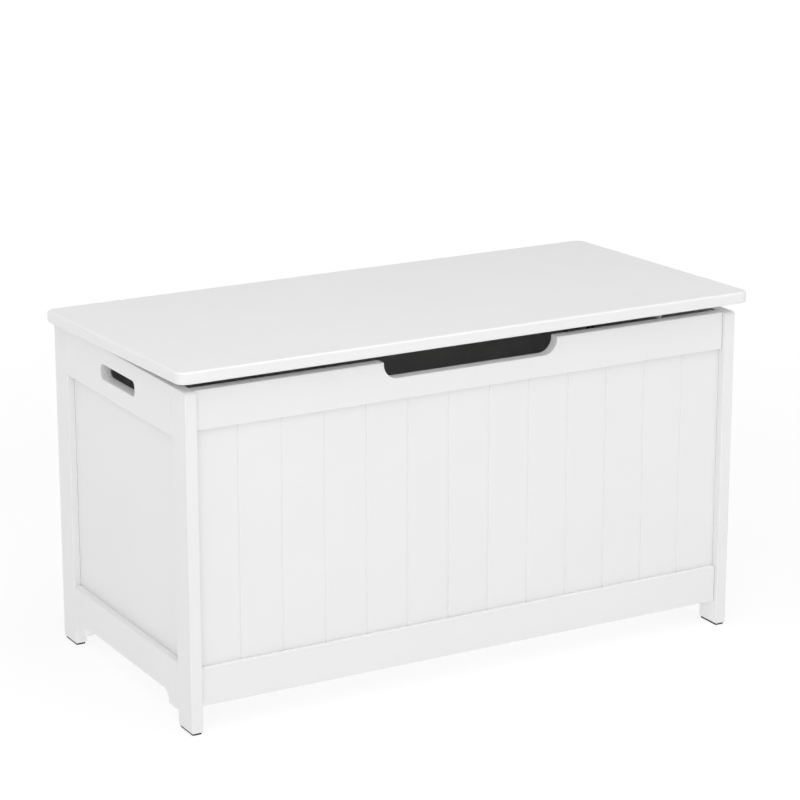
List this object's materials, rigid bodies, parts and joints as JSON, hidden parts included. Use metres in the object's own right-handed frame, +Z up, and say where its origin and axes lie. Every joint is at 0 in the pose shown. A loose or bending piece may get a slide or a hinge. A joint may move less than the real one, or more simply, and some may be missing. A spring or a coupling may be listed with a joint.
{
  "type": "toy box",
  "caption": "Painted wooden toy box with a hinged lid on friction stays, handle slots in the sides, a finger cut-out and a grooved plank front.",
  "frame": {"origin": "on the floor, under the middle of the whole piece's box, front to back and side to side", "axes": "+X along the width, +Z up, the front with the finger cut-out faces -Y"},
  "size_m": [0.858, 0.4322, 0.4842],
  "materials": {
    "paint": "satin white paint on board",
    "zinc": "zinc plated",
    "black_steel": "fine black powder coat",
    "black_plastic": "moulded, matt",
    "rubber": "matt black",
    "clear_rubber": "soft clear button"
  },
  "bodies": {
    "box": {"left_top_rail": "paint", "left_bottom_rail": "paint", "left_panel": "paint", "left_front_post": "paint", "left_rear_post": "paint", "left_front_foot_pad": "rubber", "left_rear_foot_pad": "rubber", "right_top_rail": "paint", "right_bottom_rail": "paint", "right_panel": "paint", "right_front_post": "paint", "right_rear_post": "paint", "right_front_foot_pad": "rubber", "right_rear_foot_pad": "rubber", "front_top_rail": "paint", "front_panel": "paint", "front_bottom_rail": "paint", "back_top_rail": "paint", "back_panel": "paint", "back_bottom_rail": "paint", "floor_panel": "paint", "front_floor_batten": "paint", "rear_floor_batten": "paint", "left_floor_batten": "paint", "right_floor_batten": "paint", "left_hinge_box_leaf": "zinc", "left_hinge_pin": "zinc", "left_stay_base": "black_steel", "left_stay_knob": "black_plastic", "left_hinge_box_screw_1": "zinc", "left_hinge_box_screw_2": "zinc", "left_stay_base_screw_1": "zinc", "left_stay_base_screw_2": "zinc", "right_hinge_box_leaf": "zinc", "right_hinge_pin": "zinc", "right_stay_base": "black_steel", "right_stay_knob": "black_plastic", "right_hinge_box_screw_1": "zinc", "right_hinge_box_screw_2": "zinc", "right_stay_base_screw_1": "zinc", "right_stay_base_screw_2": "zinc"},
    "lid": {"lid_board": "paint", "left_lid_bumper": "clear_rubber", "left_hinge_lid_leaf": "zinc", "left_stay_lid_bracket": "black_steel", "left_stay_rivet": "zinc", "left_hinge_lid_screw_1": "zinc", "left_hinge_lid_screw_2": "zinc", "left_stay_bracket_screw_1": "zinc", "left_stay_bracket_screw_2": "zinc", "right_lid_bumper": "clear_rubber", "right_hinge_lid_leaf": "zinc", "right_stay_lid_bracket": "black_steel", "right_stay_rivet": "zinc", "right_hinge_lid_screw_1": "zinc", "right_hinge_lid_screw_2": "zinc", "right_stay_bracket_screw_1": "zinc", "right_stay_bracket_screw_2": "zinc"},
    "left_arm": {"left_stay_arm": "black_steel"},
    "right_arm": {"right_stay_arm": "black_steel"}
  },
  "joints": [
    {"name": "lid_hinge", "type": "hinge", "parent": "box", "child": "lid", "pos_m": [0, 0.2131, 0.4548], "axis": [-1, 0, 0], "range_deg": [-1.7, 83.3]},
    {"name": "left_stay_pivot", "type": "hinge", "parent": "lid", "child": "left_arm", "pos_m": [-0.394, 0.10339, 0.44685], "axis": [-1, 0, 0], "range_deg": [-42, 1.2]},
    {"name": "right_stay_pivot", "type": "hinge", "parent": "lid", "child": "right_arm", "pos_m": [0.394, 0.10339, 0.44685], "axis": [-1, 0, 0], "range_deg": [-42, 1.2]}
  ],
  "couplings": [
    {"joint": "left_stay_pivot", "follows": "lid_hinge", "ratio": -0.5},
    {"joint": "right_stay_pivot", "follows": "lid_hinge", "ratio": -0.5}
  ]
}
